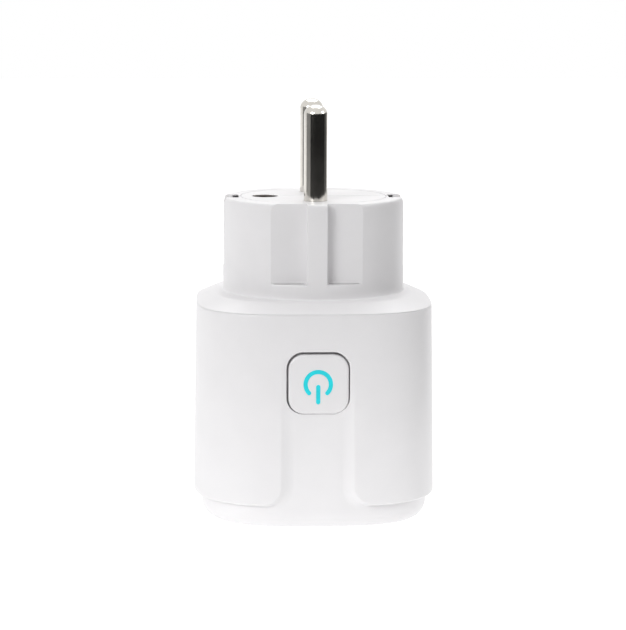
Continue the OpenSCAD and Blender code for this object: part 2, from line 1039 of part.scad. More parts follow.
module relay_winding() {
    gap = 0.05;
    color("#b06a35")
        translate([relay_x, coil_y, coil_z + cheek_t + gap])
            difference() {
                cylinder(h = coil_h - 2 * (cheek_t + gap), r = cheek_r - 0.4);
                translate([0, 0, -1])
                    cylinder(h = coil_h + 1, r = core_r + 0.65);
            }
}

module relay_core() {
    color(spring_steel)
        translate([relay_x, coil_y, coil_z - 0.35])
            cylinder(h = coil_h + 1.3, r = core_r);
}

yoke_y = 0.7;
module relay_yoke() {
    half_w = 3.8;
    color(spring_steel)
        difference() {
            translate([relay_x, yoke_y, 0]) {
                box([-half_w, -0.5, armature_z + armature_t + 0.3], [half_w, 0.5, yoke_top_z + 1]);
                box([-half_w, -0.5, yoke_top_z], [half_w, 8.4, yoke_top_z + 1]);
            }
            translate([relay_x, coil_y, yoke_top_z - 1])
                cylinder(h = 4, r = core_r + 0.05);
        }
}

// Plate with a half-round ridge, on which it tips under the yoke's end
module relay_armature() {
    half_w = 3.5;
    color(spring_steel) {
        box([relay_x - half_w, -0.4, armature_z], [relay_x + half_w, 9.6, armature_z + armature_t]);
        translate([relay_x - half_w, yoke_y, armature_z + armature_t])
            rotate([0, 90, 0])
                cylinder(h = 2 * half_w, r = 0.27);
    }
}

module relay_moving_contact() {
    leaf_t = 0.3;
    color(brass_gold) {
        box([relay_x - 1.5, -4.6, armature_z - leaf_t], [relay_x + 1.5, 3, armature_z]);
        translate([relay_x, contact_y, armature_z - 0.6])
            cylinder(h = 0.4, r = contact_r);
    }
}

module relay_fixed_contact() {
    blade_y = -5.4;
    shelf_z = 25.2;
    path = [[blade_y, lead_top_z], [blade_y, shelf_z], [blade_y + 3, shelf_z]];
    color(brass_gold) {
        strip_yz(path, 0.6, 3, relay_x);
        translate([relay_x, contact_y, shelf_z + 0.2])
            cylinder(h = 0.7, r = contact_r);
    }
}

module relay_terminals() {
    color(brass_gold)
        for (i = [0:2])
            let (foot = relay_blades[i])
                box([foot[0], foot[1], i < 2 ? relay_base_z : 35.5], [foot[2], foot[3], lead_top_z]);
}

// ---- power supply parts ----

module electrolytic_capacitors() {
    can_r = 4;
    can_h = 13.2;
    can_top_z = board_z - 0.4;
    crimp_z = 11.3;
    color("#2a2f55")
        for (side = [-1, 1])
            translate([-12.2, side * 6.6, 0]) {
                translate([0, 0, can_top_z - can_h])
                    rotate_extrude()
                        polygon([
                            [0, 0], [can_r - 0.4, 0], [can_r, 0.4], [can_r, crimp_z - 0.5],
                            [can_r - 0.5, crimp_z], [can_r, crimp_z + 0.5], [can_r, can_h], [0, can_h]
                        ]);
                for (lead_y = [-1.25, 1.25])
                    translate([0, lead_y, can_top_z - 0.1])
                        cylinder(h = board_z - can_top_z + 0.1, r = 0.3);
            }
}

module film_capacitor() {
    color("#d8b23a")
        box([-4.5, 3.1, board_top_z], [7.5, 7.7, board_top_z + 11]);
}

module varistor() {
    disc_r = 4.8;
    disc_t = 3.2;
    centre = [2.5, -7.2, board_top_z + 6];
    leg_gap = 5;
    color("#2f6fb5") {
        translate(centre)
            rotate([90, 0, 0])
                cylinder(h = disc_t, r = disc_r, center = true);
        for (side = [-1, 1])
            translate([centre[0] + side * leg_gap / 2, centre[1], board_top_z])
                cylinder(h = 3, r = 0.4);
    }
}

module fuse_resistor() {
    centre = [11, -6.8, 43.2];
    lead_r = 0.35;
    lead_half = 4.6;
    body_r = 1.7;
    body_half = 3.8;
    color("#6d8f6a") {
        translate(centre)
            rotate([90, 0, 0])
                rotate_extrude()
                    polygon([
                        [0, -lead_half], [lead_r, -lead_half], [lead_r, -body_half], [body_r, -body_half],
                        [body_r, body_half], [lead_r, body_half], [lead_r, lead_half], [0, lead_half]
                    ]);
        for (side = [-1, 1])
            translate([centre[0], centre[1] + side * (lead_half - 0.3), board_top_z])
                cylinder(h = centre[2] - board_top_z, r = 0.25);
    }
}

module inductor() {
    rim_r = 3;
    rim_h = 1;
    waist_r = 2.6;
    height = 6.4;
    color("#5a4a3c")
        translate([11.5, 6.6, board_top_z])
            rotate_extrude()
                polygon([
                    [0, 0], [rim_r, 0], [rim_r, rim_h], [waist_r, rim_h],
                    [waist_r, height - rim_h], [rim_r, height - rim_h], [rim_r, height], [0, height]
                ]);
}

module rectifier() {
    color(dark_plastic)
        box([-14.6, 3.4, board_top_z], [-9.8, 8, board_top_z + 2.2]);
}

module power_chip() {
    color(dark_plastic)
        box([-14.2, -8, board_top_z], [-10.2, -3, board_top_z + 1.6]);
}

main_housing();
pin_cover();
socket_cup();
cup_screws();
button_cap();
button_light_guide();
shutter();
shutter_retainer();
shutter_screws();
shutter_spring();
line_pin();
neutral_pin();
pin_retainer();
retainer_screws();
line_busbar();
neutral_busbar();
line_contact();
neutral_contact();
plug_earth_strip_left();
plug_earth_strip_right();
earth_cross_bar();
earth_receptacle();
earth_strap_left();
earth_strap_right();
socket_earth_clip_left();
socket_earth_clip_right();
earth_rivets();
main_board();
board_screws();
control_board();
pin_header_base();
header_pins();
tactile_switch_body();
switch_plunger();
indicator_leds();
wifi_board();
wifi_shield_can();
relay_base();
relay_cover();
relay_bobbin();
relay_winding();
relay_core();
relay_yoke();
relay_armature();
relay_moving_contact();
relay_fixed_contact();
relay_terminals();
electrolytic_capacitors();
film_capacitor();
varistor();
fuse_resistor();
inductor();
rectifier();
power_chip();
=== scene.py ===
"""Looks of a smart plug: shells, button, lit symbol, pins and socket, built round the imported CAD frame.

Shapes are given in millimetres and become metres when their mesh is made. The camera and the lights are
given in metres. +Z is up the pins, -Y is the front with the button, +X is right seen from the front.
"""

import json
import math

import bmesh
import bpy
import numpy as np
from mathutils import Matrix, Vector


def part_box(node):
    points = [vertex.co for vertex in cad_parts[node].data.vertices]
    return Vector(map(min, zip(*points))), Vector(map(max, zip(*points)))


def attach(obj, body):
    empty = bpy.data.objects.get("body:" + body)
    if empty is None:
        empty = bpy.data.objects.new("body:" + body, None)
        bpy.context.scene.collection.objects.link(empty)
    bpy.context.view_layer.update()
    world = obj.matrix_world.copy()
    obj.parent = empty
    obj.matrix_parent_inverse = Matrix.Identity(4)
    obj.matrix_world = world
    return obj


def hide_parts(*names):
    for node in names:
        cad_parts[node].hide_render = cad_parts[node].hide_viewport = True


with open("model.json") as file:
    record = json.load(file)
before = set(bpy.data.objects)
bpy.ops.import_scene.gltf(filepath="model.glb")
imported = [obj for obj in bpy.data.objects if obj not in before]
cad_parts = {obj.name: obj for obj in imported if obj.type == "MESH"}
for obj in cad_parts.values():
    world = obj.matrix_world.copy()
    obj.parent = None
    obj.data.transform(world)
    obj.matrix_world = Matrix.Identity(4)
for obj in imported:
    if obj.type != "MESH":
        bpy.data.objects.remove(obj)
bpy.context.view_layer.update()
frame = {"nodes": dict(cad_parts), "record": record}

MM = 0.001


def cad(node):
    """Lowest and highest corner of a CAD node, in millimetres."""
    low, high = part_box(node)
    return np.array(low) / MM, np.array(high) / MM


# ---- sizes, worked out from the frame where it states them ----

HOUSING = cad("main_housing")
COVER = cad("pin_cover")
CUP = cad("socket_cup")
BUTTON = cad("button_cap")
PIN = cad("line_pin")

LEFT_RIGHT = [(-1, 1), (1, 1)]               # signs of x and y for what repeats
FRONT_BACK = [(1, -1), (1, 1)]
CORNERS = [(-1, -1), (-1, 1), (1, -1), (1, 1)]

POWER = 3.2                                  # roundness of the plan outline, 2 is a circle
SKIRT_HALF = HOUSING[1][0]                   # half width at the side panels' lower edge
CREASE_Z = HOUSING[1][2]                     # where the two shells meet
CREASE_HALF = SKIRT_HALF - 0.6               # the sides lean in a little up to there
RIM_HALF = SKIRT_HALF - 1.5                  # the rim below the panels is set back
FOOT_HALF = RIM_HALF - 2.7
FOOT_ROUND = 3.2
SKIRT_Z = 5.3
CHANNEL_HALF = 7.35
CHANNEL_TOP_Z = 36.7                         # the channel has run out into the panels' surface here
PANEL_CORNER = 3.8
SIDE_WALL = 2.4                              # width of the cove beside each panel
LOWER_WALL = 0.7                             # width of the edge under each panel
WINDOW_ROUND = 0.28
CAVITY_HALF = SKIRT_HALF - 2.6
FLOOR_T = CUP[0][2]
BEYOND = 21.0                                # well outside the plug, for cuts that run out of it

FACE_Z = COVER[1][2]
SHOULDER_Z = 45.7
SHOULDER_HALF = 20.0
PLUG_R = 18.5
PLUG_DRAFT = 0.15
FLAT_Y = 16.2
LEDGE_Z = 48.8
RIB_HALF = 2.0
PIN_R = 2.4
PIN_Y = 9.5
EARTH_X = -10.0
EARTH_R = 2.7
SLOT_X = 15.4
SLOT_HALF = 3.0
SLOT_FLOOR_Z = 50.6

RECESS_R = 19.5
RECESS_DEPTH = 17.5
SOCKET_HOLE_R = 2.7

BORE_R = 0.8                                 # hole that a screw cuts its thread in
CLEAR_R = 1.1                                # hole that a screw passes through
BOSS_R = 2.2
CASE_BOSS_R = 1.9                            # slimmer bosses in the housing's corners
CASE_SCREW_XY = 16.263                       # four screws hold the socket in the housing
BOARD_SCREW_XY = 14.8                        # four screws hold the main board under the upper shell
SHUTTER_SCREW_X = 11.5                       # two screws hold the shutter's retainer

BUTTON_Z = (BUTTON[0][2] + BUTTON[1][2]) / 2
BUTTON_FRONT = -BUTTON[0][1]
BUTTON_BACK = -BUTTON[1][1]
BUTTON_W = 12.1
BUTTON_H = 12.0
BUTTON_CORNER = 3.1
BUTTON_GAP = 0.3
BUTTON_SLACK = (0.1, -0.26)                  # where the cap hangs in its window, in x and z
CAP_SKIN = 1.1                               # the cap's wall in front of the light guide
GUIDE_R = 5.0
SYMBOL_Z = BUTTON_Z - 0.25
SYMBOL_R = 2.53
SYMBOL_STROKE = 0.84
SYMBOL_OPEN = 46.0                           # degrees from the top to either end of the open ring
BAR_TOP, BAR_BOTTOM = -0.5, -3.6             # ends of the bar's axis, from the ring's centre


# ---- mesh helpers ----

def make_object(name, verts, faces, smooth_deg=35.0):
    """A mesh object from millimetre points, shaded smooth except at edges sharper than smooth_deg."""
    mesh = bpy.data.meshes.new(name)
    mesh.from_pydata((np.asarray(verts, float) * MM).tolist(), [], [list(map(int, f)) for f in faces])
    mesh.validate()
    obj = bpy.data.objects.new(name, mesh)
    bpy.context.scene.collection.objects.link(obj)
    shade(obj, smooth_deg)
    return obj


def shade(obj, smooth_deg):
    """Turns every face outwards and shades smooth except at open edges and those sharper than smooth_deg."""
    bm = bmesh.new()
    bm.from_mesh(obj.data)
    bmesh.ops.recalc_face_normals(bm, faces=bm.faces)
    limit = math.radians(smooth_deg)
    for face in bm.faces:
        face.smooth = True
    for edge in bm.edges:
        edge.smooth = len(edge.link_faces) == 2 and edge.calc_face_angle(0) < limit
    bm.to_mesh(obj.data)
    bm.free()


def sweep(name, rings, loop=False, smooth_deg=35.0):
    """Closed mesh through rings of equal point count. A loop joins the last ring to the first,
    and otherwise each end is closed with one face."""
    rings = [np.asarray(r, float) for r in rings]
    count = len(rings[0])
    verts = np.vstack(rings)
    faces = []
    spans = len(rings) if loop else len(rings) - 1
    for j in range(spans):
        low = j * count
        high = ((j + 1) % len(rings)) * count
        for i in range(count):
            k = (i + 1) % count
            faces.append((low + i, low + k, high + k, high + i))
    if not loop:
        faces.append(tuple(range(count))[::-1])
        faces.append(tuple(range((len(rings) - 1) * count, len(rings) * count)))
    return make_object(name, verts, faces, smooth_deg)


def apply_modifiers(obj):
    depsgraph = bpy.context.evaluated_depsgraph_get()
    mesh = bpy.data.meshes.new_from_object(obj.evaluated_get(depsgraph))
    obj.modifiers.clear()
    old = obj.data
    obj.data = mesh
    mesh.name = obj.name
    bpy.data.meshes.remove(old)


def clean(obj):
    """Merges points that all but coincide and removes faces that have no area."""
    distance = 0.002 * MM
    bm = bmesh.new()
    bm.from_mesh(obj.data)
    bmesh.ops.remove_doubles(bm, verts=bm.verts, dist=distance)
    bmesh.ops.dissolve_degenerate(bm, edges=bm.edges, dist=distance)
    bm.to_mesh(obj.data)
    bm.free()


def join(name, parts):
    """One object from several, for use as a tool of a boolean."""
    bm = bmesh.new()
    for part in parts:
        bm.from_mesh(part.data)
        bpy.data.objects.remove(part)
    mesh = bpy.data.meshes.new(name)
    bm.to_mesh(mesh)
    bm.free()
    obj = bpy.data.objects.new(name, mesh)
    bpy.context.scene.collection.objects.link(obj)
    return obj


def combine(obj, tools, operation):
    """Adds, cuts or keeps what is inside the tools, all at once. Tools that meet need a call each."""
    tool = join(obj.name + "_tool", tools)
    modifier = obj.modifiers.new("combine", "BOOLEAN")
    modifier.operation = operation
    modifier.solver = "EXACT"
    modifier.object = tool
    apply_modifiers(obj)
    bpy.data.objects.remove(tool)
    return obj


def soften(obj, width):
    """Rounds every sharp edge by width, as a moulding's edges are."""
    clean(obj)
    modifier = obj.modifiers.new("soften", "BEVEL")
    modifier.width = width * MM
    modifier.segments = 2
    modifier.limit_method = "ANGLE"
    modifier.angle_limit = math.radians(32)
    modifier.use_clamp_overlap = True
    modifier.harden_normals = False
    apply_modifiers(obj)
    steady_normals(obj)


def steady_normals(obj):
    """Shades large faces flat to their edges, so that only the small roundings between them curve."""
    shade(obj, 40)
    modifier = obj.modifiers.new("normals", "WEIGHTED_NORMAL")
    modifier.keep_sharp = True
    apply_modifiers(obj)


def outline_radius(angles):
    """Radius at each angle of the plan outline, a superellipse that is 1 wide from its centre."""
    spread = np.abs(np.cos(angles)) ** POWER + np.abs(np.sin(angles)) ** POWER
    return spread ** (-1.0 / POWER)


def polar_ring(angles, radii, z):
    return np.stack([radii * np.cos(angles), radii * np.sin(angles), np.broadcast_to(z, angles.shape)], 1)


def plan_ring(angles, half, z):
    return polar_ring(angles, half * outline_radius(angles), z)


def even_angles(count):
    return np.linspace(0, 2 * np.pi, count, endpoint=False)


def rod(name, radius, z0, z1, x=0.0, y=0.0, count=64):
    angles = even_angles(count)
    return sweep(name, [polar_ring(angles, radius, z) + [x, y, 0] for z in (z0, z1)])


def rods(name, radius, z0, z1, x, y, signs, count):
    """A rod for each pair of signs in x and y."""
    return [rod(name, radius, z0, z1, sx * x, sy * y, count) for sx, sy in signs]


def block(name, corner, opposite):
    """Box between two opposite corners."""
    (x0, y0, z0), (x1, y1, z1) = np.sort([corner, opposite], axis=0)
    base = [(x0, y0), (x1, y0), (x1, y1), (x0, y1)]
    return sweep(name, [[(x, y, z) for x, y in base] for z in (z0, z1)], smooth_deg=20)


def blocks(name, corner, opposite, signs):
    """A box for each pair of signs in x and y."""
    return [block(name, np.multiply(corner, (sx, sy, 1)), np.multiply(opposite, (sx, sy, 1)))
            for sx, sy in signs]


def plan_band(name, outer, inner, z0, z1, angles):
    """Closed band that follows the plan outline."""
    corners = [(outer, z0), (outer, z1), (inner, z1), (inner, z0)]
    return sweep(name, [plan_ring(angles, half, z) for half, z in corners], loop=True)


def rounded_outline(width, height, radius, steps=14):
    """Points of a rounded rectangle in (x, z), anticlockwise."""
    points = []
    for cx, cz, start in ((1, 1, 0), (-1, 1, 90), (-1, -1, 180), (1, -1, 270)):
        for i in range(steps + 1):
            a = math.radians(start + 90 * i / steps)
            points.append((
                cx * (width / 2 - radius) + radius * math.cos(a),
                cz * (height / 2 - radius) + radius * math.sin(a),
            ))
    return np.array(points)


def arc_points(radius, start_deg, end_deg, steps):
    a = np.radians(np.linspace(start_deg, end_deg, steps + 1))
    return np.stack([radius * np.cos(a), radius * np.sin(a)], 1)


def circle_points(radius, count):
    return arc_points(radius, 0, 360, count)[:-1]


def front_ring(outline, y, x, z):
    """An outline in (x, z) stood up on the front, at distance y in front of the axis."""
    return np.stack([outline[:, 0] + x, np.full(len(outline), -y), outline[:, 1] + z], 1)


def front_prism(name, outline, z, y_from, y_to):
    return sweep(name, [front_ring(outline, y, 0, z) for y in (y_from, y_to)])


def smooth_path(points):
    """Catmull-Rom curve through the points."""
    steps = 8
    p = np.asarray(points, float)
    p = np.vstack([2 * p[0] - p[1], p, 2 * p[-1] - p[-2]])
    out = []
    for i in range(1, len(p) - 2):
        for s in range(steps):
            t = s / steps
            out.append(0.5 * (
                2 * p[i] + (p[i + 1] - p[i - 1]) * t
                + (2 * p[i - 1] - 5 * p[i] + 4 * p[i + 1] - p[i + 2]) * t ** 2
                + (3 * p[i] - p[i - 1] - 3 * p[i + 1] + p[i + 2]) * t ** 3
            ))
    out.append(p[-2])
    return np.array(out)


def bent_strip(name, path, thickness, width, mirror_x):
    """Sheet-metal strip along an (x, z) path, centred on y = 0, with rounded long edges."""
    tangents = np.gradient(path, axis=0)
    tangents /= np.linalg.norm(tangents, axis=1)[:, None]
    normals = np.stack([-tangents[:, 1], tangents[:, 0]], 1)
    section = rounded_outline(width, thickness, 0.12, 3)
    rings = []
    for point, normal in zip(path, normals):
        xz = point + section[:, 1:2] * normal
        rings.append(np.stack([mirror_x * xz[:, 0], section[:, 0], xz[:, 1]], 1))
    return sweep(name, rings, smooth_deg=50)


# ---- materials ----

def new_material(name):
    material = bpy.data.materials.new(name)
    material.use_nodes = True
    tree = material.node_tree
    shader = tree.nodes["Principled BSDF"]
    where = tree.nodes.new("ShaderNodeTexCoord").outputs["Object"]
    return material, tree, shader, where


def noise(tree, where, scale, detail=3.0, roughness=0.55):
    node = tree.nodes.new("ShaderNodeTexNoise")
    node.inputs["Scale"].default_value = scale
    node.inputs["Detail"].default_value = detail
    node.inputs["Roughness"].default_value = roughness
    tree.links.new(where, node.inputs["Vector"])
    return node.outputs["Fac"]


def stretched(tree, where, scale):
    """Coordinates scaled by a different factor along each axis."""
    node = tree.nodes.new("ShaderNodeMapping")
    node.inputs["Scale"].default_value = scale
    tree.links.new(where, node.inputs["Vector"])
    return node.outputs["Vector"]


def ramp(tree, value, stops):
    node = tree.nodes.new("ShaderNodeValToRGB")
    elements = node.color_ramp.elements
    while len(elements) < len(stops):
        elements.new(0.5)
    for element, (position, colour) in zip(elements, stops):
        element.position = position
        element.color = (*colour, 1.0)
    tree.links.new(value, node.inputs["Fac"])
    return node.outputs["Color"]


def span(tree, value, low, high):
    """A 0..1 value stretched to low..high."""
    node = tree.nodes.new("ShaderNodeMapRange")
    node.inputs["To Min"].default_value = low
    node.inputs["To Max"].default_value = high
    tree.links.new(value, node.inputs["Value"])
    return node.outputs["Result"]


def bump(tree, shader, height, strength, distance):
    node = tree.nodes.new("ShaderNodeBump")
    node.inputs["Strength"].default_value = strength
    node.inputs["Distance"].default_value = distance * MM
    tree.links.new(height, node.inputs["Height"])
    tree.links.new(node.outputs["Normal"], shader.inputs["Normal"])


def shades(colour, spread):
    """The colour made a little darker and a little lighter."""
    return [tuple(max(0.0, min(1.0, c * k)) for c in colour) for k in (1 - spread, 1 + spread)]


def moulded_plastic(name, colour, roughness, grain, spread, soft):
    """Injection-moulded plastic: faint blotches of shade and the fine spark-eroded grain of the mould."""
    material, tree, shader, where = new_material(name)
    dark, light = shades(colour, spread)
    blotch = noise(tree, where, 140.0)
    tree.links.new(ramp(tree, blotch, [(0.3, dark), (0.7, light)]), shader.inputs["Base Color"])
    fine = noise(tree, where, 5200.0, 2.0)
    tree.links.new(span(tree, fine, roughness - 0.05, roughness + 0.05), shader.inputs["Roughness"])
    if soft:
        shader.inputs["Subsurface Weight"].default_value = soft
        shader.inputs["Subsurface Radius"].default_value = (1.0, 0.95, 0.9)
        shader.inputs["Subsurface Scale"].default_value = 0.6 * MM
    bump(tree, shader, fine, grain, 0.02)
    return material


def plated_metal(name, colour, roughness):
    """Metal with faint patches of shade and fine drawing lines round the z axis."""
    material, tree, shader, where = new_material(name)
    dark, light = shades(colour, 0.05)
    lines = noise(tree, stretched(tree, where, (300.0, 300.0, 9000.0)), 1.0, 4.0, 0.6)
    patches = noise(tree, where, 420.0, 4.0, 0.6)
    tree.links.new(ramp(tree, patches, [(0.35, dark), (0.65, light)]), shader.inputs["Base Color"])
    tree.links.new(span(tree, lines, roughness * 0.7, roughness * 1.5), shader.inputs["Roughness"])
    shader.inputs["Metallic"].default_value = 1.0
    bump(tree, shader, lines, 0.04, 0.01)
    return material


def glowing_guide(name, colour, strength):
    """Clear-tinted light guide, lit from behind and a little uneven."""
    material, tree, shader, where = new_material(name)
    shader.inputs["Roughness"].default_value = 0.3
    cloud = noise(tree, where, 900.0, 2.0)
    tint = tuple(c * (1 - strength) for c in colour)
    for socket, tone, spread in (("Emission Color", colour, 0.07), ("Base Color", tint, 0.1)):
        dark, light = shades(tone, spread)
        tree.links.new(ramp(tree, cloud, [(0.25, dark), (0.75, light)]), shader.inputs[socket])
    shader.inputs["Emission Strength"].default_value = strength
    return material


def circuit_board(name, mask, copper):
    """Solder mask over etched tracks: straight runs of copper showing faintly through the mask."""
    material, tree, shader, where = new_material(name)
    bricks = tree.nodes.new("ShaderNodeTexBrick")
    bricks.inputs["Scale"].default_value = 420.0
    bricks.inputs["Mortar Size"].default_value = 0.035
    bricks.inputs["Color1"].default_value = (*mask, 1)
    bricks.inputs["Color2"].default_value = (*shades(mask, 0.22)[1], 1)
    bricks.inputs["Mortar"].default_value = (*copper, 1)
    tree.links.new(where, bricks.inputs["Vector"])
    tree.links.new(bricks.outputs["Color"], shader.inputs["Base Color"])
    tree.links.new(span(tree, noise(tree, where, 3000.0), 0.25, 0.4), shader.inputs["Roughness"])
    bump(tree, shader, bricks.outputs["Fac"], 0.15, 0.03)
    return material


def wound_wire(name, colour):
    """Turns of enamelled wire round a vertical axis."""
    material, tree, shader, where = new_material(name)
    wave = tree.nodes.new("ShaderNodeTexWave")
    wave.bands_direction = "Z"
    wave.inputs["Scale"].default_value = 1500.0
    wave.inputs["Distortion"].default_value = 0.4
    tree.links.new(where, wave.inputs["Vector"])
    dark, light = shades(colour, 0.35)
    tree.links.new(ramp(tree, wave.outputs["Fac"], [(0.1, dark), (0.7, light)]), shader.inputs["Base Color"])
    shader.inputs["Metallic"].default_value = 0.8
    shader.inputs["Roughness"].default_value = 0.35
    bump(tree, shader, wave.outputs["Fac"], 0.6, 0.1)
    return material


WHITE = (0.80, 0.79, 0.80)
PLASTICS = {                                 # colour, roughness, depth of grain, spread of shade, softness
    "shell_plastic": (WHITE, 0.42, 0.05, 0.012, 0.08),
    "socket_plastic": ((0.78, 0.77, 0.77), 0.4, 0.05, 0.012, 0.08),
    "button_plastic": (WHITE, 0.38, 0.04, 0.012, 0.08),
    "shutter_plastic": ((0.72, 0.70, 0.66), 0.5, 0.05, 0.012, 0),
    "black_plastic": ((0.02, 0.02, 0.022), 0.5, 0.08, 0.1, 0),
    "cream_plastic": ((0.66, 0.60, 0.46), 0.45, 0.05, 0.03, 0),
    "relay_plastic": ((0.02, 0.045, 0.15), 0.3, 0.04, 0.05, 0),
    "lamp_lens": ((0.80, 0.78, 0.52), 0.2, 0.02, 0.03, 0.3),
    "can_sleeve": ((0.02, 0.025, 0.10), 0.22, 0.03, 0.08, 0),
    "film_yellow": ((0.62, 0.40, 0.05), 0.35, 0.06, 0.05, 0),
    "varistor_blue": ((0.02, 0.13, 0.42), 0.3, 0.1, 0.08, 0),
    "resistor_coat": ((0.14, 0.25, 0.13), 0.6, 0.15, 0.1, 0),
    "ferrite": ((0.035, 0.028, 0.022), 0.55, 0.2, 0.15, 0),
}
METALS = {                                   # colour, roughness
    "nickel": ((0.66, 0.635, 0.59), 0.11),
    "brass": ((0.72, 0.52, 0.24), 0.3),
    "steel": ((0.56, 0.57, 0.58), 0.34),
    "shield_metal": ((0.68, 0.69, 0.70), 0.28),
}
BOARDS = {                                   # solder mask, tracks under it
    "board": ((0.02, 0.14, 0.06), (0.05, 0.24, 0.10)),
    "wifi_board": ((0.01, 0.03, 0.09), (0.03, 0.08, 0.18)),
}
MATERIALS = {
    **{slot: moulded_plastic(slot, *row) for slot, row in PLASTICS.items()},
    **{slot: plated_metal(slot, *row) for slot, row in METALS.items()},
    **{slot: circuit_board(slot, *row) for slot, row in BOARDS.items()},
    "symbol_light": glowing_guide("symbol_light", (0.018, 0.66, 0.74), 0.6),
    "copper": wound_wire("copper", (0.62, 0.27, 0.12)),
}
NODE_SLOTS = {row["node"]: row["material_slot"] for row in frame["record"]["subparts"]}


def dress(obj, slot):
    obj.data.materials.clear()
    obj.data.materials.append(MATERIALS[slot])


def place(obj, body, slot, node):
    """The piece's material, the body it moves with, its slot, and the CAD node it stands for."""
    dress(obj, slot)
    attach(obj, body)
    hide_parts(node)


# ---- camera, light and floor ----

def build_camera():
    target = Vector((0, 0, 0.04013))
    distance = 0.558
    azimuth = math.radians(-2.65)
    elevation = math.radians(8.403)
    roll = math.radians(0.2)
    back = Vector((
        math.sin(azimuth) * math.cos(elevation),
        -math.cos(azimuth) * math.cos(elevation),
        math.sin(elevation),
    ))
    right = (-back).cross(Vector((0, 0, 1))).normalized()
    up = right.cross(-back)
    turned_right = right * math.cos(roll) + up * math.sin(roll)
    turned_up = up * math.cos(roll) - right * math.sin(roll)
    data = bpy.data.cameras.new("camera")
    data.lens = 153.54
    data.sensor_width = 36.0
    data.clip_start = 0.02
    data.clip_end = 20.0
    camera = bpy.data.objects.new("camera", data)
    bpy.context.scene.collection.objects.link(camera)
    rotation = Matrix((turned_right, turned_up, back)).transposed().to_4x4()
    camera.matrix_world = Matrix.Translation(target + back * distance) @ rotation
    bpy.context.scene.camera = camera


def softbox(name, position, size, power):
    """Rectangular light that faces the middle of the body."""
    data = bpy.data.lights.new(name, "AREA")
    data.shape = "RECTANGLE"
    data.size, data.size_y = size
    data.energy = power
    light = bpy.data.objects.new(name, data)
    light.location = position
    middle = Vector((0, 0, 0.045))
    light.rotation_euler = (middle - Vector(position)).to_track_quat("-Z", "Y").to_euler()
    bpy.context.scene.collection.objects.link(light)


def build_backdrop():
    """White all round, as bright as it shows in the metal and about half as bright on matt surfaces."""
    scene = bpy.context.scene
    scene.view_settings.view_transform = "Standard"
    world = bpy.data.worlds.new("studio")
    scene.world = world
    world.use_nodes = True
    tree = world.node_tree
    back = tree.nodes["Background"]
    back.inputs["Color"].default_value = (1, 1, 1, 1)
    path = tree.nodes.new("ShaderNodeLightPath")
    seen = tree.nodes.new("ShaderNodeMath")
    seen.operation = "MAXIMUM"
    tree.links.new(path.outputs["Is Camera Ray"], seen.inputs[0])
    tree.links.new(path.outputs["Is Glossy Ray"], seen.inputs[1])
    tree.links.new(span(tree, seen.outputs["Value"], 0.54, 1.0), back.inputs["Strength"])


def paper_shade(obj, name, colour, spread, scale):
    """Matt paper or cloth with a faint cloudiness. Returns its shader for what else it needs."""
    material, tree, shader, where = new_material(name)
    dark, light = shades(colour, spread)
    tree.links.new(ramp(tree, noise(tree, where, scale), [(0.3, dark), (0.7, light)]),
                   shader.inputs["Base Color"])
    obj.data.materials.append(material)
    return shader


def build_floor():
    """Pale sheet that glows enough to show white under the object."""
    half, z = 1500.0, -0.05
    corners = [(-half, -half, z), (half, -half, z), (half, half, z), (-half, half, z)]
    floor = make_object("floor", corners, [(0, 1, 2, 3)])
    shader = paper_shade(floor, "floor_paper", (0.19, 0.19, 0.19), 0.053, 60.0)
    shader.inputs["Roughness"].default_value = 0.9
    shader.inputs["Emission Color"].default_value = (1, 1, 1, 1)
    shader.inputs["Emission Strength"].default_value = 1.0


def build_cloth(name, start_deg, end_deg, colour):
    """Cloth on the table and hanging behind the camera, between two angles from the front. Only light and
    reflections meet it."""
    count = 48
    angles = np.radians(np.linspace(start_deg, end_deg, count) - 90)
    profile = [(140, 1), (800, 1), (900, 270)]                      # radius and height
    verts = np.vstack([polar_ring(angles, r, z) for r, z in profile])
    faces = [
        (j * count + i, j * count + i + 1, (j + 1) * count + i + 1, (j + 1) * count + i)
        for j in range(len(profile) - 1) for i in range(count - 1)
    ]
    cloth = make_object(f"room_{name}", verts, faces)
    shader = paper_shade(cloth, f"room_cloth_{name}", colour, 0.25, 40.0)
    shader.inputs["Roughness"].default_value = 1.0
    cloth.visible_camera = False


def build_stage():
    build_backdrop()
    build_floor()
    build_cloth("left", -104, -55, (0.36, 0.36, 0.36))
    build_cloth("front", -55, 92, (0.006, 0.006, 0.006))
    build_cloth("right", 92, 130, (0.13, 0.13, 0.13))
    softbox("key_left", (-0.64, -0.86, 0.42), (0.55, 0.55), 8.4)
    softbox("fill_right", (1.00, -0.25, 0.35), (0.5, 0.8), 4.2)
    softbox("top", (0.05, 0.45, 0.90), (0.8, 0.8), 4.3)


# ---- housing ----

def panel_half(z):
    """Half width of the side panels' surface."""
    return SKIRT_HALF - (SKIRT_HALF - CREASE_HALF) * (z - SKIRT_Z) / (CREASE_Z - SKIRT_Z)


def core_half(z):
    """Half width of the rim and of the channel above it, which runs out into the panels' surface."""
    t = np.clip((z - SKIRT_Z) / (CHANNEL_TOP_Z - SKIRT_Z), 0, None)
    channel = RIM_HALF + (panel_half(CHANNEL_TOP_Z) - RIM_HALF) * t
    rounding = np.clip(1 - z / FOOT_ROUND, 0, 1)
    foot = FOOT_HALF + (RIM_HALF - FOOT_HALF) * np.sqrt(1 - rounding ** 2)
    return np.minimum(np.where(z < FOOT_ROUND, foot, channel), panel_half(z))


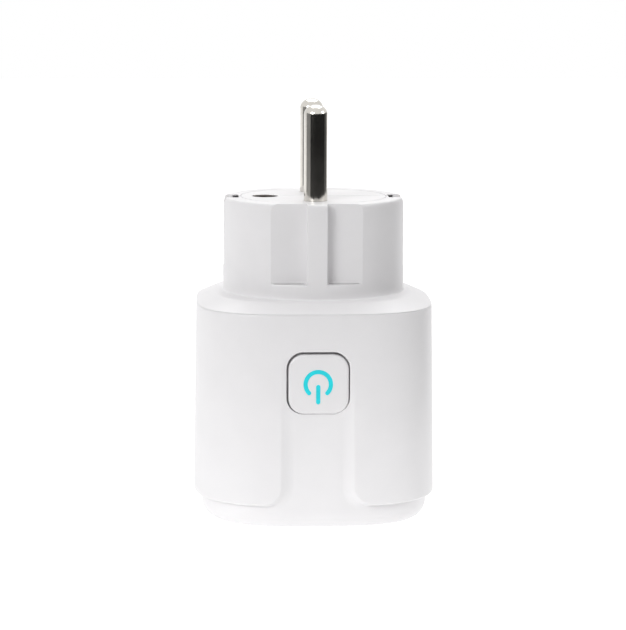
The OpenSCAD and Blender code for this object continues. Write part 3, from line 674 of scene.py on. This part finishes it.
def panel_cover(x, y, z):
    """1 on a side panel, 0 on the channel and the rim. A cove leads from the channel up to the panel's
    crisp side edge, and the lower edge rolls under."""
    inward = np.where(y < 0, np.abs(x) - CHANNEL_HALF, np.inf)
    qx = np.clip(PANEL_CORNER - inward, 0, None)
    qz = np.clip(PANEL_CORNER - (z - SKIRT_Z), 0, None)
    length = np.hypot(qx, qz)
    share = qx / np.maximum(length, 1e-9)
    past_edge = length - PANEL_CORNER
    cove = np.clip(1 - past_edge / SIDE_WALL, 0, 1) ** 2
    roll = np.clip(1 - past_edge / LOWER_WALL, 0, 1)
    return cove * share + roll * (2 - roll) * (1 - share)


def window_roll(x, y, z):
    """How far the skin rolls in towards the edge of the button's window."""
    half_w = BUTTON_W / 2 + BUTTON_GAP
    half_h = BUTTON_H / 2 + BUTTON_GAP
    corner = BUTTON_CORNER + BUTTON_GAP
    qx = np.abs(x) - half_w + corner
    qz = np.abs(z - BUTTON_Z) - half_h + corner
    past_corner = np.hypot(np.clip(qx, 0, None), np.clip(qz, 0, None))
    outside = past_corner + np.minimum(np.maximum(qx, qz), 0) - corner
    rest = np.clip(WINDOW_ROUND - outside, 0, WINDOW_ROUND)
    return np.where(y < 0, WINDOW_ROUND - np.sqrt(WINDOW_ROUND ** 2 - rest ** 2), 0)


def housing_angles():
    """Plan angles, close together across the front where the channel and the window are."""
    dense_half, step, rest_count = 10.4, 0.16, 300
    front = np.arctan2(-SKIRT_HALF, np.arange(-dense_half, dense_half + 0.01, step))
    start, end = front[-1], front[0] + 2 * np.pi
    rest = start + (end - start) * np.arange(1, rest_count) / rest_count
    return np.concatenate([front, rest])


def housing_heights():
    """Heights of the housing's rings, close together where its shape changes fast."""
    foot = FOOT_ROUND * (1 - np.cos(np.linspace(0, np.pi / 2, 14)))[1:]
    panel_edge = np.arange(3.5, 10.0, 0.13)
    plain = np.arange(10.3, 22.6, 0.7)
    window = np.arange(22.9, 38.0, 0.15)
    upper = np.linspace(38.6, CREASE_Z - 0.15, 8)
    return np.concatenate([foot, panel_edge, plain, window, upper])


def build_housing():
    angles = housing_angles()
    base = outline_radius(angles)
    rings = []
    for z in housing_heights():
        outer, core = panel_half(z), core_half(z)
        x, y = outer * base * np.cos(angles), outer * base * np.sin(angles)
        half = core + (outer - core) * panel_cover(x, y, z)
        rings.append(polar_ring(angles, half * base - window_roll(x, y, z), z))
    crease = [(-0.05, -0.05), (-0.15, 0.0), (-1.0, 0.0)]
    rings += [plan_ring(angles, CREASE_HALF + dx, CREASE_Z + dz) for dx, dz in crease]
    inside = [(CAVITY_HALF + 0.1, CREASE_Z), (CAVITY_HALF, CREASE_Z - 0.1), (CAVITY_HALF, 20.0),
              (CAVITY_HALF, FLOOR_T + 3.2), (CAVITY_HALF - 1.0, FLOOR_T)]
    rings += [plan_ring(angles, half, z) for half, z in inside]
    edge = 0.3
    mouth = [(0.0, FLOOR_T), (0.0, edge), (0.3 * edge, 0.3 * edge), (edge, 0.0)]
    rings += [polar_ring(angles, RECESS_R + out, z) for out, z in mouth]
    rings.append(plan_ring(angles, FOOT_HALF, 0.0))
    shell = sweep("housing_shell", rings, loop=True)
    bosses = rods("boss", CASE_BOSS_R, FLOOR_T - 0.3, RECESS_DEPTH, CASE_SCREW_XY, CASE_SCREW_XY, CORNERS, 40)
    combine(shell, bosses, "UNION")
    cutters = rods("bore", BORE_R, 8.0, RECESS_DEPTH + 2.5, CASE_SCREW_XY, CASE_SCREW_XY, CORNERS, 32)
    window = rounded_outline(BUTTON_W + 2 * BUTTON_GAP, BUTTON_H + 2 * BUTTON_GAP,
                             BUTTON_CORNER + BUTTON_GAP, 20)
    cutters.append(front_prism("window", window, BUTTON_Z, CAVITY_HALF - 2, SKIRT_HALF + 1))
    combine(shell, cutters, "DIFFERENCE")
    clean(shell)
    shade(shell, 38)
    place(shell, "case", "shell_plastic", "main_housing")


# ---- plug and shoulder ----

def plug_angles():
    """Even plan angles, with extra ones close round the corners of the flats and the rib."""
    beside, closest = 0.006, 0.0012
    corners = []
    for r in (PLUG_R, PLUG_R + PLUG_DRAFT):
        edge = math.asin(FLAT_Y / r)
        foot = math.atan2(FLAT_Y, RIB_HALF)
        top = math.acos(RIB_HALF / r)
        for a in (edge, foot, top):
            for d in (-beside, 0.0, beside):
                for mirror in (a + d, np.pi - a - d, np.pi + a + d, -a - d):
                    corners.append(mirror % (2 * np.pi))
    angles = np.unique(np.round(np.concatenate([even_angles(360), corners]), 5))
    keep = np.concatenate([[True], np.diff(angles) > closest])
    return angles[keep]


def plug_outside(angles):
    """The upper shell before its openings: seam, slope, shoulder, round plug with a rounded face edge."""
    seam = [(0.25, 0.0), (0.1, 0.03), (0.08, 0.12), (0.2, 0.22)]
    rings = [plan_ring(angles, CREASE_HALF - inset, CREASE_Z + rise) for inset, rise in seam]
    slope_half, slope_z = CREASE_HALF - seam[-1][0], CREASE_Z + seam[-1][1]
    for t in (0.25, 0.5, 0.75, 0.94):
        half = slope_half + (SHOULDER_HALF - slope_half) * t
        rings.append(plan_ring(angles, half, slope_z + (SHOULDER_Z - slope_z) * t))
    fillet, edge = 0.35, 0.55
    rings.append(plan_ring(angles, SHOULDER_HALF - 0.05, SHOULDER_Z - 0.02))
    rings.append(plan_ring(angles, SHOULDER_HALF - fillet, SHOULDER_Z))
    base_r = PLUG_R + PLUG_DRAFT
    for a in np.linspace(0, np.pi / 2, 5):
        out, up = fillet * (1 - math.sin(a)), fillet * (1 - math.cos(a))
        rings.append(polar_ring(angles, base_r + out, SHOULDER_Z + up))
    for z in (SHOULDER_Z + 1.1, SHOULDER_Z + 1.9, SHOULDER_Z + 2.5, FACE_Z - 1.2):
        rings.append(polar_ring(angles, base_r, z))
    for a in np.linspace(0, np.pi / 2, 7):
        rings.append(polar_ring(angles, PLUG_R - edge * (1 - math.cos(a)), FACE_Z - edge * (1 - math.sin(a))))
    rings.append(polar_ring(angles, PLUG_R - 3, FACE_Z))
    return sweep("plug_shell", rings)


def plug_hollow():
    """The plug's hollow: a round room with two flat sides, less the walls of the earth slots."""
    radius, flat_y, roof_z = 16.9, 14.4, FACE_Z - 2.4
    wall_t, boss_r, boss_y = 1.2, 2.0, 3.8
    angles = even_angles(192)
    radii = np.minimum(radius, flat_y / np.maximum(np.abs(np.sin(angles)), 1e-9))
    hollow = sweep("hollow", [polar_ring(angles, radii, z) for z in (40.65, roof_z)])
    wall_y = SLOT_HALF + wall_t
    walls = blocks("wall", (SLOT_X - 1.4, -wall_y, SLOT_FLOOR_Z - wall_t), (BEYOND, wall_y, FACE_Z),
                   LEFT_RIGHT)
    walls += rods("screw_boss", boss_r, roof_z - 2, FACE_Z, 0, boss_y, FRONT_BACK, 32)
    return combine(hollow, walls, "DIFFERENCE")


def face_hollows():
    """The face is a thin skin round its openings, so they open into dark room just below their rims.
    Fine parting grooves run across and round it, and a shadow gap lies at the foot of each flat."""
    groove_z, open_z = FACE_Z - 0.2, FACE_Z + 1
    room_front, room_half, skin = -3.6, 3.8, 0.12
    hollows = [
        block("earth_room", (EARTH_X - room_half, room_front, FACE_Z - 2.5),
              (EARTH_X + room_half, 6.4, FACE_Z - skin)),
        block("groove", (-6.8, -0.15, groove_z), (13.8, 0.15, open_z)),
    ]
    hollows += blocks("slot_room", (SLOT_X, room_front, SLOT_FLOOR_Z + 0.5), (SLOT_X + 1.2, 5.8, groove_z),
                      LEFT_RIGHT)
    inner, outer = 14.9, 15.2
    angles = even_angles(180)
    ring = [(inner, groove_z), (inner, open_z), (outer, open_z), (outer, groove_z)]
    hollows.append(sweep("face_ring", [polar_ring(angles, r, z) for r, z in ring], loop=True))
    gap_z, gap_t = LEDGE_Z + 0.02, 0.09
    hollows += blocks("shadow_gap", (RIB_HALF + 0.5, FLAT_Y - 0.8, gap_z), (8.6, FLAT_Y + 0.4, gap_z + gap_t),
                      CORNERS)
    return hollows


def build_plug_shell():
    angles = plug_angles()
    shell = plug_outside(angles)
    flats = blocks("flat", (RIB_HALF, FLAT_Y, LEDGE_Z), (BEYOND, BEYOND, FACE_Z + 1), CORNERS)
    combine(shell, flats, "DIFFERENCE")
    overlap_z, boss_z = CREASE_Z + 0.3, 40.6
    lip = plan_band("lip", CAVITY_HALF - 0.15, CAVITY_HALF - 1.6, CREASE_Z - 2, overlap_z, angles)
    combine(shell, [lip], "UNION")
    bosses = rods("boss", BOSS_R, boss_z, overlap_z, BOARD_SCREW_XY, BOARD_SCREW_XY, CORNERS, 40)
    combine(shell, bosses, "UNION")
    combine(shell, [plug_hollow()], "DIFFERENCE")
    openings = rods("hole", PIN_R + 0.05, FACE_Z - 10, FACE_Z + 5, 0, PIN_Y, FRONT_BACK, 64)
    openings += blocks("slot", (SLOT_X, -SLOT_HALF, SLOT_FLOOR_Z), (BEYOND, SLOT_HALF, FACE_Z + 1),
                       LEFT_RIGHT)
    combine(shell, openings, "DIFFERENCE")
    passages = blocks("strip_passage", (SLOT_X + 0.3, -2.7, SLOT_FLOOR_Z - 1.6),
                      (SLOT_X + 1.35, 2.7, SLOT_FLOOR_Z + 1.4), LEFT_RIGHT)
    passages += rods("bore", BORE_R, boss_z - 1, boss_z + 2.6, BOARD_SCREW_XY, BOARD_SCREW_XY, CORNERS, 24)
    combine(shell, passages, "DIFFERENCE")
    soften(shell, 0.16)
    combine(shell, [rod("earth_hole", EARTH_R, FACE_Z - 10, FACE_Z + 5, EARTH_X)], "DIFFERENCE")
    combine(shell, face_hollows(), "DIFFERENCE")
    steady_normals(shell)
    place(shell, "case", "shell_plastic", "pin_cover")


# ---- pins ----

def build_pin(name, side, node):
    """Turned pin: a domed tip, a drawn shank, a collar under the face, and a riveting head below it."""
    tip_z, foot_z = PIN[1][2], PIN[0][2]
    axis_r, dome = 0.02, 2.0
    neck_r, groove_r, head_r, collar_r = PIN_R - 0.1, 1.6, 2.5, 3.6
    head_z, collar_low, collar_high = foot_z + 1.2, 60.6, 62.6
    profile = [(axis_r, tip_z)]
    for a in np.radians(np.linspace(80, 0, 12)):
        profile.append((PIN_R * math.cos(a), tip_z - dome + dome * math.sin(a)))
    profile += [(PIN_R, FACE_Z + 8), (PIN_R, FACE_Z + 0.02), (neck_r, FACE_Z - 0.05), (neck_r, collar_high),
                (collar_r - 0.05, collar_high), (collar_r, collar_high - 0.1),
                (collar_r, collar_low + 0.1), (collar_r - 0.1, collar_low),
                (groove_r, collar_low), (groove_r, head_z), (head_r - 0.2, head_z), (head_r, head_z - 0.2),
                (head_r, foot_z + 0.3), (head_r - 0.4, foot_z), (axis_r, foot_z)]
    angles = even_angles(96)
    pin = sweep(name, [polar_ring(angles, r, z) + [0, side * PIN_Y, 0] for r, z in profile])
    place(pin, "case", "nickel", node)


# ---- button and symbol ----

def symbol_parts(width):
    """Outlines of the symbol's open ring and of its bar, about the ring's centre, with round ends."""
    half = width / 2
    start, end = SYMBOL_OPEN - 90, 270 - SYMBOL_OPEN

    def ring_end(angle_deg, turn_deg):
        centre = arc_points(SYMBOL_R, angle_deg, angle_deg, 0)
        return arc_points(half, angle_deg + turn_deg, angle_deg + turn_deg + 180, 12)[1:-1] + centre

    outer = arc_points(SYMBOL_R + half, start, end, 60)
    inner = arc_points(SYMBOL_R - half, end, start, 60)
    open_ring = np.vstack([outer, ring_end(end, 0), inner, ring_end(start, 180)])
    bar = np.vstack([arc_points(half, 0, 180, 12) + [0, BAR_TOP],
                     arc_points(half, 180, 360, 12) + [0, BAR_BOTTOM]])
    return open_ring, bar


def build_button():
    """The cap with its flange behind the window, a pocket for the light guide, and the symbol's slots."""
    flange_w, flange_corner, flange_front = 2 * BUTTON[1][0], 2.5, BUTTON_BACK + 0.85
    x, z = BUTTON_SLACK[0], BUTTON_Z + BUTTON_SLACK[1]

    def flange(y, inset):
        outline = rounded_outline(flange_w - 2 * inset, flange_w - 2 * inset, flange_corner - inset, 16)
        return front_ring(outline, y, x, z)

    def cap(y, inset):
        outline = rounded_outline(BUTTON_W - 2 * inset, BUTTON_H - 2 * inset, BUTTON_CORNER - inset, 16)
        return front_ring(outline, y, x, z)

    rings = [flange(BUTTON_BACK, 0.15), flange(BUTTON_BACK + 0.1, 0.0),
             flange(flange_front - 0.1, 0.0), flange(flange_front, 0.1), cap(flange_front, 0.0)]
    edge = 0.42
    for a in np.linspace(0, np.pi / 2, 7):
        rings.append(cap(BUTTON_FRONT - edge * (1 - math.sin(a)), edge * (1 - math.cos(a))))
    rings.append(cap(BUTTON_FRONT, 0.8))
    button = sweep("button_cap_shell", rings)
    pocket = front_prism("pocket", circle_points(GUIDE_R + 0.05, 64), BUTTON_Z, BUTTON_BACK - 1,
                         BUTTON_FRONT - CAP_SKIN)
    combine(button, [pocket], "DIFFERENCE")
    for outline in symbol_parts(SYMBOL_STROKE + 0.05):
        slot = front_prism("slot", outline, SYMBOL_Z, BUTTON_FRONT - CAP_SKIN - 0.5, BUTTON_FRONT + 1)
        combine(button, [slot], "DIFFERENCE")
    clean(button)
    shade(button, 30)
    place(button, "button", "button_plastic", "button_cap")


def build_light_guide():
    """Disc behind the cap with the symbol's strokes standing on it and a pip that meets the plunger."""
    disc_back, disc_front = BUTTON_BACK + 0.2, BUTTON_FRONT - CAP_SKIN
    guide = front_prism("light_guide", circle_points(GUIDE_R, 72), BUTTON_Z, disc_back, disc_front)
    for outline in symbol_parts(SYMBOL_STROKE):
        stroke = front_prism("stroke", outline, SYMBOL_Z, disc_front - 0.2, BUTTON_FRONT - 0.015)
        combine(guide, [stroke], "UNION")
    pip = front_prism("pip", circle_points(1.6, 40), BUTTON_Z, BUTTON_BACK - 0.05, disc_back + 0.2)
    combine(guide, [pip], "UNION")
    soften(guide, 0.04)
    place(guide, "button", "symbol_light", "button_light_guide")


# ---- socket ----

def build_socket():
    """The recessed socket: round wall, floor with pin holes, guide pads and windows for the earth clips."""
    angles = even_angles(288)
    top, wall_r, centre_r, fillet = RECESS_DEPTH + 2, RECESS_R + 1.4, 0.3, 0.5
    profile = [(centre_r, RECESS_DEPTH), (8, RECESS_DEPTH), (RECESS_R - fillet, RECESS_DEPTH)]
    for a in np.linspace(0, np.pi / 2, 5)[1:]:
        profile.append((RECESS_R - fillet * (1 - math.sin(a)), RECESS_DEPTH - fillet * (1 - math.cos(a))))
    profile += [(RECESS_R, 10), (RECESS_R, FLOOR_T), (wall_r, FLOOR_T), (wall_r, RECESS_DEPTH)]
    rings = [polar_ring(angles, r, z) for r, z in profile]
    rings += [plan_ring(angles, CAVITY_HALF - 0.3, z) for z in (RECESS_DEPTH, top)]
    rings += [polar_ring(angles, r, top) for r in (12, centre_r)]
    socket = sweep("socket_insert", rings)

    pads = join("pads", blocks("pad", (2.9, 17, 5.5), (8.9, 20.3, RECESS_DEPTH + 0.5), CORNERS))
    combine(pads, [rod("keep", RECESS_R + 0.6, 4, 20, count=192)], "INTERSECT")
    combine(socket, [pads], "UNION")
    posts = [rod("post", 1.95, top - 0.4, CUP[1][2], count=40)]
    posts += rods("boss", BOSS_R, top - 0.4, CUP[1][2] - 1, SHUTTER_SCREW_X, 0, LEFT_RIGHT, 40)
    combine(socket, posts, "UNION")

    through = (RECESS_DEPTH - 1.5, top + 1.5)
    cuts = rods("pin_hole", SOCKET_HOLE_R, *through, 0, PIN_Y, FRONT_BACK, 64)
    cuts += rods("bore", BORE_R, top - 0.9, CUP[1][2] + 1, SHUTTER_SCREW_X, 0, LEFT_RIGHT, 24)
    cuts += rods("screw_hole", CLEAR_R, *through, CASE_SCREW_XY, CASE_SCREW_XY, CORNERS, 24)
    cuts += blocks("clip_window", (RECESS_R - 3, -3.2, 5.0), (RECESS_R + 2, 3.2, RECESS_DEPTH - 0.02),
                   LEFT_RIGHT)
    combine(socket, cuts, "DIFFERENCE")
    slits = blocks("clip_slit", (RECESS_R + 0.3, -3, through[0]), (RECESS_R + 1.7, 3, through[1]), LEFT_RIGHT)
    combine(socket, slits, "DIFFERENCE")
    soften(socket, 0.18)
    place(socket, "case", "socket_plastic", "socket_cup")


# ---- sprung earth contacts ----

def build_earth_contacts():
    """Bent strips in the plug's slots and the socket's clip windows. Their paths are in (x, z)."""
    width = 5.0
    plug_path = [(13.5, 48.8), (15.7, 48.8), (16.2, 49.3), (16.2, 51.0), (16.9, 52.6), (17.7, 54.4),
                 (17.95, 58), (17.6, 61), (17.2, 63), (16.85, 64.2)]
    clip_path = [(15.2, 19.8), (19.9, 19.8), (20.45, 19.4), (20.5, 15.6), (19.5, 14.0), (17.75, 11.9),
                 (17.35, 10.9), (17.5, 9.6), (18.2, 8.0), (20.1, 5.75)]
    for side, word in ((-1, "left"), (1, "right")):
        strip = bent_strip(f"plug_earth_spring_{word}", smooth_path(plug_path), 0.8, width, side)
        place(strip, "case", "nickel", f"plug_earth_strip_{word}")
        clip = bent_strip(f"socket_earth_spring_{word}", smooth_path(clip_path), 0.6, width, side)
        place(clip, "case", "nickel", f"socket_earth_clip_{word}")


# ---- CAD parts that keep their shape ----

def dress_frame():
    """The CAD parts whose shape is right keep it, in their real materials."""
    for name, node in frame["nodes"].items():
        if not node.hide_render:
            dress(node, NODE_SLOTS[name])
            for polygon in node.data.polygons:
                polygon.use_smooth = True
            node.data.set_sharp_from_angle(angle=math.radians(30))


build_camera()
build_stage()
build_housing()
build_plug_shell()
build_pin("line_pin_turned", -1, "line_pin")
build_pin("neutral_pin_turned", 1, "neutral_pin")
build_button()
build_light_guide()
build_socket()
build_earth_contacts()
dress_frame()
